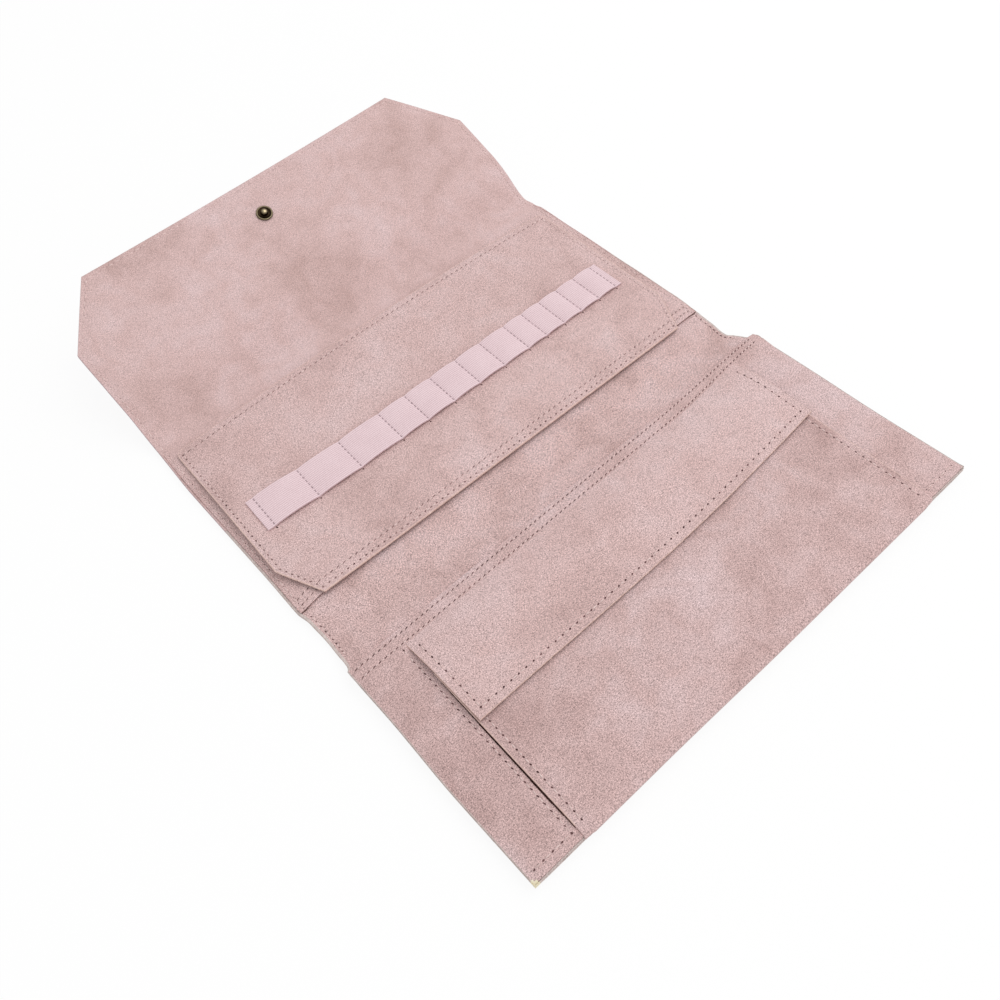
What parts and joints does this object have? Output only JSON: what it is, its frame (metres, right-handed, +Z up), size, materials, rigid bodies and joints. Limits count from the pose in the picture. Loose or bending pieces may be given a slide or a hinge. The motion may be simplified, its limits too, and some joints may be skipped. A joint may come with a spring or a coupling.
{
  "type": "folding needle case",
  "caption": "Tri-fold suede-finish leather case for knitting needles, with a snap flap, slip pockets, a flapped bellows pocket and a lift-up page with an elastic band of needle loops.",
  "frame": {"origin": "centre of the back panel's underside, where the open case lies on a table", "axes": "+X to the right across the case's width, +Y from the front panel to the flap's tip, +Z up, out of the lining"},
  "size_m": [0.242, 0.349, 0.043],
  "materials": {
    "cover_leather": "dusty pink suede-finish leather",
    "lining_leather": "dusty pink suede-finish leather",
    "pocket_leather": "dusty pink suede-finish leather, mottled",
    "board": "plain cream board",
    "elastic": "ribbed woven elastic",
    "snap_brass": "antique brass"
  },
  "bodies": {
    "back": {"back_cover": "cover_leather", "back_board": "board", "back_lining": "lining_leather", "centre_pocket": "pocket_leather"},
    "upper_spine": {"upper_spine_cover": "cover_leather", "upper_spine_lining": "lining_leather"},
    "flap": {"flap_cover": "cover_leather", "flap_board": "board", "flap_lining": "lining_leather", "snap_stud": "snap_brass", "snap_cap": "snap_brass"},
    "lower_spine": {"lower_spine_cover": "cover_leather", "lower_spine_lining": "lining_leather"},
    "riser": {"riser_cover": "cover_leather", "riser_lining": "lining_leather"},
    "front": {"front_cover": "cover_leather", "front_board": "board", "front_lining": "lining_leather", "front_pocket": "pocket_leather", "bellows_front": "pocket_leather", "bellows_gusset_left": "lining_leather", "bellows_gusset_right": "lining_leather", "snap_socket": "snap_brass", "snap_rivet": "snap_brass"},
    "pocket_flap": {"pocket_flap_face": "pocket_leather", "pocket_flap_lining": "lining_leather"},
    "page": {"page_face": "pocket_leather", "page_board": "board", "page_back": "lining_leather", "needle_elastic": "elastic"}
  },
  "joints": [
    {"name": "upper_fold", "type": "hinge", "parent": "back", "child": "upper_spine", "pos_m": [0, 0.0645, 0.0032], "axis": [1, 0, 0], "range_deg": [-22, 54]},
    {"name": "flap_fold", "type": "hinge", "parent": "upper_spine", "child": "flap", "pos_m": [0, 0.08634, 0.01907], "axis": [1, 0, 0], "range_deg": [0, 104]},
    {"name": "lower_fold", "type": "hinge", "parent": "back", "child": "lower_spine", "pos_m": [0, -0.0645, 0.0032], "axis": [-1, 0, 0], "range_deg": [0, 45.6]},
    {"name": "riser_fold", "type": "hinge", "parent": "lower_spine", "child": "riser", "pos_m": [0, -0.07945, 0.002], "axis": [-1, 0, 0], "range_deg": [0, 82.53]},
    {"name": "front_fold", "type": "hinge", "parent": "riser", "child": "front", "pos_m": [0, -0.09615, 0.0052], "axis": [-1, 0, 0], "range_deg": [0, 51.86]},
    {"name": "page_lift", "type": "hinge", "parent": "back", "child": "page", "pos_m": [0, 0.0465, 0.0076], "axis": [1, 0, 0], "range_deg": [-150, 0]},
    {"name": "pocket_flap_lift", "type": "hinge", "parent": "front", "child": "pocket_flap", "pos_m": [0, -0.10435, 0.0086], "axis": [1, 0, 0], "range_deg": [-140, 0]}
  ]
}
